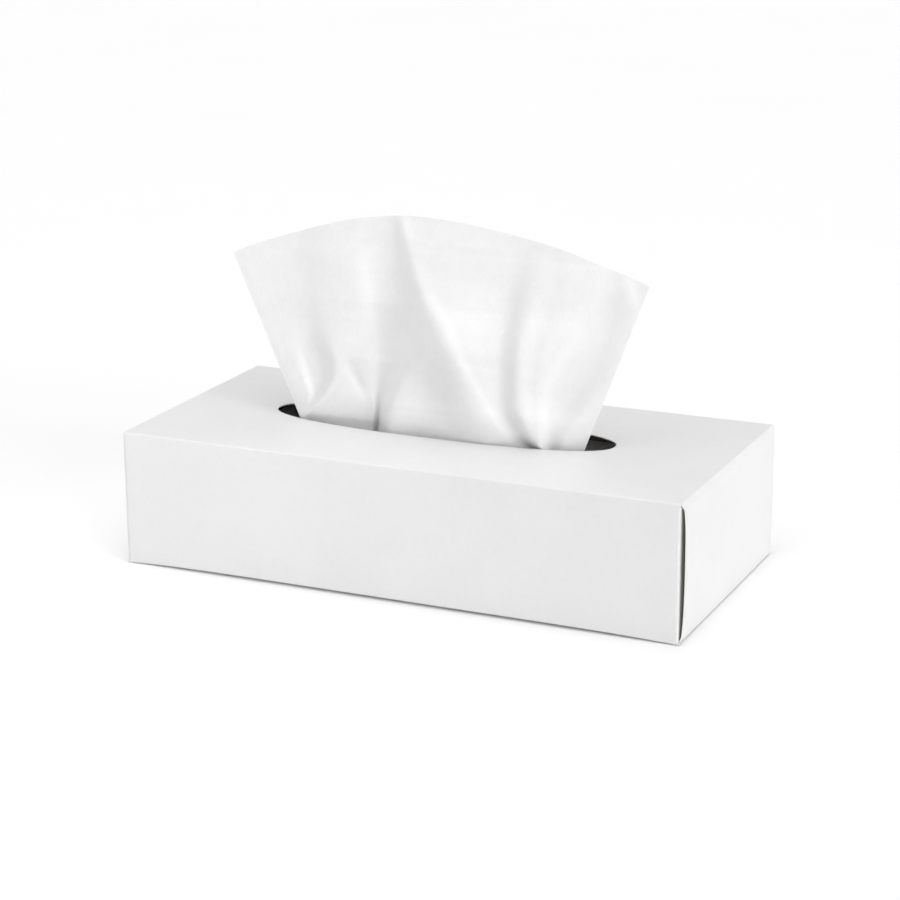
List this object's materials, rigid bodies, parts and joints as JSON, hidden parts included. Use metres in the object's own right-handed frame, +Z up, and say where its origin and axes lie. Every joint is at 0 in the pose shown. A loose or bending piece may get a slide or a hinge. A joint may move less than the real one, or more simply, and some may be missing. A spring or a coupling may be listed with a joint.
{
  "type": "tissue box",
  "caption": "Low white card tissue box with a long rounded opening in its top, a tissue standing out of it, and a hinged tuck-in flap at each end.",
  "frame": {"origin": "middle of the carton's base, between its four corners", "axes": "+X along the box towards the sprung end flap, +Y from front to back, +Z up"},
  "size_m": [0.2421, 0.115, 0.1418],
  "materials": {
    "white_card": "matte",
    "tissue": "matte"
  },
  "bodies": {
    "carton": {"carton": "white_card", "tissue_stack": "tissue", "popped_tissue": "tissue"},
    "end_flap_left": {"end_flap_left": "white_card"},
    "end_flap_right": {"end_flap_right": "white_card"}
  },
  "joints": [
    {"name": "left_flap_hinge", "type": "hinge", "parent": "carton", "child": "end_flap_left", "pos_m": [-0.11975, 0, 0.05575], "axis": [0, 1, 0], "range_deg": [0, 180]},
    {"name": "right_flap_hinge", "type": "hinge", "parent": "carton", "child": "end_flap_right", "pos_m": [0.11975, 0, 0.05575], "axis": [0, -1, 0], "range_deg": [0, 180]}
  ]
}
